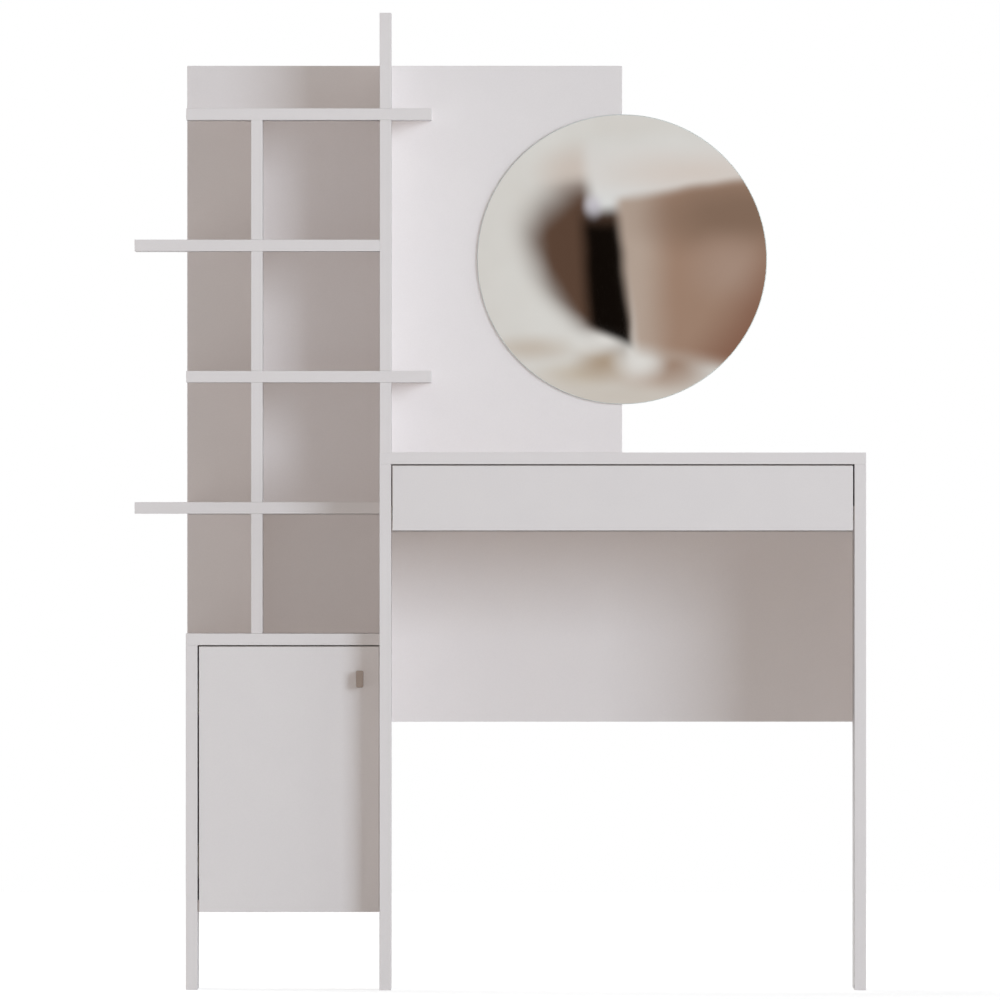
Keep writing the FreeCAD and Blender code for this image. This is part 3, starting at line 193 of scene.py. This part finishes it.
def plated_metal(name, dark, light, smooth, rough, spot):
    # Plated or cast metal: bright, with a cloudy tone and roughness that change over a few millimetres.
    material, tree, place, surface = new_finish(name, {"Metallic": 1.0})
    cloud = add(tree, "TexNoise", {"Vector": place, "Scale": 1 / spot, "Detail": 4.0})["Fac"]
    colour = add(tree, "Mix", {FACTOR: cloud, FIRST: linear(dark), SECOND: linear(light)},
                 data_type="RGBA")[RESULT]
    sheen = add(tree, "MapRange", {"Value": cloud, "To Min": smooth, "To Max": rough})["Result"]
    relief = add(tree, "Bump", {"Height": cloud, "Strength": 0.2, "Distance": 0.03 * MM})["Normal"]
    feed(tree, surface, Base_Color=colour, Roughness=sheen, Normal=relief)
    return material


def satin_nickel():
    # Warm nickel brushed along its height: soft taupe with fine upright scratches.
    # The scratches are 0.1 mm apart and are drawn at 0.5 mm so that they show.
    material, tree, place, surface = new_finish("satin_nickel", {"Metallic": 1.0})
    brushed = add(tree, "Mapping", {"Vector": place, "Scale": (1.0, 1.0, 0.04)})["Vector"]
    scratch = add(tree, "TexNoise", {"Vector": brushed, "Scale": 1 / (0.5 * MM), "Detail": 3.0})["Fac"]
    colour = add(tree, "Mix", {FACTOR: scratch, FIRST: linear("#877970"), SECOND: linear("#9E9087")},
                 data_type="RGBA")[RESULT]
    sheen = add(tree, "MapRange", {"Value": scratch, "To Min": 0.28, "To Max": 0.46})["Result"]
    relief = add(tree, "Bump", {"Height": scratch, "Strength": 0.25, "Distance": 0.02 * MM})["Normal"]
    feed(tree, surface, Base_Color=colour, Roughness=sheen, Normal=relief)
    return material


def beech():
    # Turned beech: pale pinkish brown with short darker flecks.
    material, tree, place, surface = new_finish("beech", {"Roughness": 0.6})
    grain = add(tree, "TexNoise", {"Vector": place, "Scale": 1 / (0.8 * MM), "Detail": 3.0})["Fac"]
    colour = add(tree, "Mix", {FACTOR: grain, FIRST: linear("#A87B4F"), SECOND: linear("#D3AE80")},
                 data_type="RGBA")[RESULT]
    feed(tree, surface, Base_Color=colour)
    return material


finishes = {
    "white_board": white_melamine(),
    "mirror": silvered_glass(),
    "mounting_tape": foam_tape(),
    "coated_steel": epoxy_coat(),
    "nylon": nylon(),
    "nickel_plate": plated_metal("nickel_plate", "#B9B2A6", "#D6D1C7", 0.16, 0.34, 5 * MM),
    "cast_zinc": plated_metal("cast_zinc", "#8E9090", "#B2B4B4", 0.4, 0.6, 1.2 * MM),
    "zinc_plate": plated_metal("zinc_plate", "#B4B9BE", "#D5D9DB", 0.18, 0.36, 2.5 * MM),
    "knob_metal": satin_nickel(),
    "dowel_wood": beech(),
}
own_finishes = {
    "cabinet_back": hardboard("cabinet_hardboard", "cabinet_back", "Y", "GREATER_THAN"),
    "drawer_bottom": hardboard("drawer_hardboard", "drawer_bottom", "Z", "LESS_THAN"),
}
for name, piece in nodes.items():
    piece.material_slots[0].material = own_finishes.get(name) or finishes[slots[name]]


# Studio, with lengths in metres

# The photograph is square and looks level from very far off. It is PHOTO_WIDTH wide at FRONT on the table
PHOTO_WIDTH = 1.375
LENS = 1600.0
SENSOR = 36.0
FRONT = -0.06
EYE_HEIGHT = 0.6729
EYE = Vector((0.0, FRONT - PHOTO_WIDTH * LENS / SENSOR, EYE_HEIGHT))

# A point of the room sheet lies SPREAD times as far from the line of sight as where the mirror shows it
ROOM_Y = -2.6
ROOM_REACH = 5.0
ROOM_BOTTOM = 0.02
ROOM_TOP = 2.5
MIRROR_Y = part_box("mirror_glass")[0].y
SPREAD = 1 + (MIRROR_Y - ROOM_Y) / (MIRROR_Y - EYE.y)

FLOOR_REACH = 15.0
FLOOR_GLOW = 0.74


def flat_sheet(name, corners, material):
    """A flat stage sheet through four corners."""
    mesh = bpy.data.meshes.new(name)
    shape = bmesh.new()
    shape.faces.new([shape.verts.new(corner) for corner in corners])
    shape.to_mesh(mesh)
    shape.free()
    sheet = bpy.data.objects.new(name, mesh)
    bpy.context.scene.collection.objects.link(sheet)
    mesh.materials.append(material)
    return sheet


def seen_directly(tree):
    """One for rays from the camera and for mirrored or refracted rays, and nought for the rest."""
    path = add(tree, "LightPath")
    seen = add(tree, "Math", {0: path["Is Camera Ray"], 1: path["Is Glossy Ray"]},
               operation="MAXIMUM")["Value"]
    return add(tree, "Math", {0: seen, 1: path["Is Transmission Ray"]}, operation="MAXIMUM")["Value"]


def floor_paint():
    """Pale floor that looks white where it is lit and keeps the shadow of what stands on it."""
    material = bpy.data.materials.new("pale_floor")
    tree = empty_tree(material)
    seen = seen_directly(tree)
    plain = add(tree, "BsdfDiffuse", {"Color": linear("#BCBCBC")})["BSDF"]
    thin = add(tree, "BsdfDiffuse", {"Color": linear("#D4D4D4")})["BSDF"]
    glow = add(tree, "Emission", {"Strength": FLOOR_GLOW})["Emission"]
    white = add(tree, "AddShader", {0: thin, 1: glow})["Shader"]
    mixed = add(tree, "MixShader", {0: seen, 1: plain, 2: white})["Shader"]
    add(tree, "OutputMaterial", {"Surface": mixed})
    return material


def room_paint():
    """Soft shapes of a pale room, out of focus, for the mirror to show."""
    material = bpy.data.materials.new("soft_room")
    tree = empty_tree(material)
    low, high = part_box("mirror_glass")
    centre = (low + high) / 2
    start = ((centre - EYE) * SPREAD + EYE) / SPREAD
    place = add(tree, "TexCoord")["Object"]
    place = add(tree, "Mapping", {"Vector": place, "Location": (-start.x, 0.0, -start.z),
                                  "Scale": (1 / SPREAD, 0.0, 1 / SPREAD)})["Vector"]
    ripple = add(tree, "TexNoise", {"Vector": place, "Scale": 1 / (70 * MM), "Detail": 1.0})["Color"]
    ripple = add(tree, "VectorMath", {0: ripple, 1: (0.5, 0.5, 0.5)}, operation="SUBTRACT")["Vector"]
    ripple = add(tree, "VectorMath", {0: ripple, "Scale": 10 * MM}, operation="SCALE")["Vector"]
    place = add(tree, "VectorMath", {0: place, 1: ripple}, operation="ADD")["Vector"]

    def side(x, z, turn, soft):
        """One on the side of a soft straight edge that the turn points to, in mm from the mirror's middle."""
        facing = Vector((math.cos(math.radians(turn)), 0.0, math.sin(math.radians(turn))))
        reach = add(tree, "VectorMath", {0: place, 1: facing}, operation="DOT_PRODUCT")["Value"]
        edge = facing.dot((x, 0.0, z))
        return add(tree, "MapRange", {"Value": reach, "From Min": (edge - soft) * MM,
                                      "From Max": (edge + soft) * MM},
                   interpolation_type="SMOOTHSTEP")["Result"]

    def blot(x, z, half_width, half_height, soft=1.0):
        """One inside a soft round patch, in mm from the mirror's middle."""
        shift = (-x / half_width, 0.0, -z / half_height)
        scale = (1 / (half_width * MM), 0.0, 1 / (half_height * MM))
        moved = add(tree, "Mapping", {"Vector": place, "Location": shift, "Scale": scale})["Vector"]
        reach = add(tree, "VectorMath", {0: moved}, operation="LENGTH")["Value"]
        return add(tree, "MapRange", {"Value": reach, "From Min": 1 + soft, "From Max": 1 - soft},
                   interpolation_type="SMOOTHSTEP")["Result"]

    def both(*factors):
        """The part that all the factors share."""
        shared = factors[0]
        for factor in factors[1:]:
            shared = add(tree, "Math", {0: shared, 1: factor}, operation="MULTIPLY")["Value"]
        return shared

    nook = both(side(-92, 92, -47, 38), side(-138, 30, 8, 40), side(-103, -49, 32, 33),
                side(-57, -95, 55, 22), side(0, 112, -90, 14), side(8, 0, 180, 8))
    wall = both(side(-45, 90, 5, 13), side(-20, 66, 90, 12), side(0, 152, -90, 34))
    gap = both(side(-53, 0, 5, 14), side(10, 0, 182, 7), side(-20, 58, -90, 24), side(-30, -100, 65, 9))
    chest = both(side(2, 0, 7, 11), side(0, 84, -82, 11), side(20, -124, 82, 16))
    drift = add(tree, "TexNoise", {"Vector": place, "Scale": 1 / (120 * MM), "Detail": 2.0})["Fac"]
    picture = add(tree, "Mix", {FACTOR: drift, FIRST: linear("#CFC9C3"), SECOND: linear("#DFDDDA")},
                  data_type="RGBA")[RESULT]
    layers = [
        (blot(-66, 122, 36, 26), "#CBBEB5"),
        (nook, "#5B4437"),
        (wall, "#DCDBDA"),
        (blot(-40, 72, 10, 14, 0.9), "#C9C4CC"),
        (blot(100, 120, 120, 26), "#D6CBC4"),
        (blot(0, -190, 130, 24), "#CBC2B9"),
        (blot(-126, -123, 46, 13), "#C6BBB0"),
        (blot(-58, -158, 44, 15), "#C5B9AB"),
        (blot(42, -164, 44, 13), "#C0B0A4"),
        (blot(-26, -143, 28, 18), "#AE9B88"),
        (blot(70, -146, 36, 22), "#A18878"),
        (blot(24, -140, 24, 20), "#DEDAD6"),
        (blot(-22, -113, 34, 12), "#DEDAD6"),
        (gap, "#0F0A07"),
        (chest, "#B5A295"),
        (both(chest, side(48, 0, 0, 32)), "#9F8270"),
        (both(chest, blot(160, 60, 105, 42, 0.8)), "#846B5B"),
        (both(chest, blot(150, -12, 40, 36)), "#A68C7D"),
        (both(chest, side(160, -70, -35, 42)), "#845F4E"),
    ]
    for factor, colour in layers:
        picture = add(tree, "Mix", {FACTOR: factor, FIRST: picture, SECOND: linear(colour)},
                      data_type="RGBA")[RESULT]
    glow = add(tree, "Emission", {"Color": picture, "Strength": 1.0})["Emission"]
    add(tree, "OutputMaterial", {"Surface": glow})
    return material


def hang_lamp(name, kind, place, aim, energy, colour):
    """A lamp that shines from a place along an aim."""
    light = bpy.data.lights.new(name, kind)
    light.energy = energy
    light.color = linear(colour)[:3]
    lamp = bpy.data.objects.new(name, light)
    lamp.location = place
    lamp.rotation_euler = Vector(aim).to_track_quat("-Z", "Z").to_euler()
    bpy.context.scene.collection.objects.link(lamp)
    return lamp


camera = bpy.data.cameras.new("camera")
camera.lens = LENS
camera.sensor_width = SENSOR
camera.clip_start = 1.0
camera.clip_end = 1000.0
view = bpy.data.objects.new("camera", camera)
view.location = EYE
view.rotation_euler = (math.radians(90), 0, 0)
bpy.context.scene.collection.objects.link(view)
bpy.context.scene.camera = view

flat_sheet("floor", [(-FLOOR_REACH, -FLOOR_REACH, 0), (FLOOR_REACH, -FLOOR_REACH, 0),
                     (FLOOR_REACH, FLOOR_REACH, 0), (-FLOOR_REACH, FLOOR_REACH, 0)], floor_paint())

# The room sheet shows in the mirror alone, and neither shades nor lights the table
room = flat_sheet("room", [(-ROOM_REACH, ROOM_Y, ROOM_BOTTOM), (ROOM_REACH, ROOM_Y, ROOM_BOTTOM),
                           (ROOM_REACH, ROOM_Y, ROOM_TOP), (-ROOM_REACH, ROOM_Y, ROOM_TOP)], room_paint())
room.visible_camera = False
room.visible_diffuse = False
room.visible_shadow = False
room.visible_transmission = False

AHEAD = (0, 1, 0)

# A broad cool softbox to the right of the camera: its shadows fall left and a little down.
# ACROSS, and UP from its base, are where it begins and ends for each metre that it stands off
SOFTBOX_AWAY = 16.0
SOFTBOX_BASE = 0.7
SOFTBOX_WATTS = 2180.0
ACROSS = (0.46, 1.06)
UP = (0.0, 0.44)
softbox_middle = (SOFTBOX_AWAY * sum(ACROSS) / 2, -SOFTBOX_AWAY, SOFTBOX_BASE + SOFTBOX_AWAY * sum(UP) / 2)
softbox = hang_lamp("softbox", "AREA", softbox_middle, AHEAD, SOFTBOX_WATTS, "#EAF5FF")
softbox.data.shape = "RECTANGLE"
softbox.data.size = SOFTBOX_AWAY * (ACROSS[1] - ACROSS[0])
softbox.data.size_y = SOFTBOX_AWAY * (UP[1] - UP[0])

# A warm lamp a little above the camera reaches into the compartments, and leaves no highlight.
# FRONT_LEVEL is what reaches the table, in watts per square metre
FRONT_LEVEL = 0.9
FRONT_RISE = 0.26
FRONT_RADIUS = 0.1
front_watts = FRONT_LEVEL * 4 * math.pi * EYE.y ** 2
front_place = EYE + Vector((0, 0, FRONT_RISE))
front_light = hang_lamp("front_light", "POINT", front_place, AHEAD, front_watts, "#FFF3E9")
front_light.data.shadow_soft_size = FRONT_RADIUS
front_light.visible_glossy = False

# Far lamps that leave no highlight: name, place, aim, level, colour and width in degrees
far_lamps = [
    # A cool light from far on the right brightens the boards that face it
    ("side_light", (6, -2, 1.5), (-1.0, 0.4, -0.12), 0.53, "#F6FDFF", 24),
    # A soft light from straight behind whitens the back
    ("rear_light", (0, 6, 3), (0.1, -1.0, -0.3), 0.9, "#FFFDFA", 30),
    # A soft light from behind on the left shows the back, the left side and the tops
    ("back_light", (-4, 6, 5), (0.45, -0.7, -0.55), 1.3, "#FFFDFA", 40),
]
for name, place, aim, level, colour, width in far_lamps:
    lamp = hang_lamp(name, "SUN", place, aim, level, colour)
    lamp.data.angle = math.radians(width)
    lamp.visible_glossy = False

# The world gives the table a faint even light, and looks white
FILL_LEVEL = 0.147
world = bpy.data.worlds.new("studio")
tree = empty_tree(world)
fill = add(tree, "Background", {"Color": linear("#FFFDFA"), "Strength": FILL_LEVEL})["Background"]
white = add(tree, "Background", {"Color": linear("#FFFFFF")})["Background"]
mixed = add(tree, "MixShader", {0: seen_directly(tree), 1: fill, 2: white})["Shader"]
add(tree, "OutputWorld", {"Surface": mixed})
bpy.context.scene.world = world
bpy.context.scene.view_settings.view_transform = "Standard"
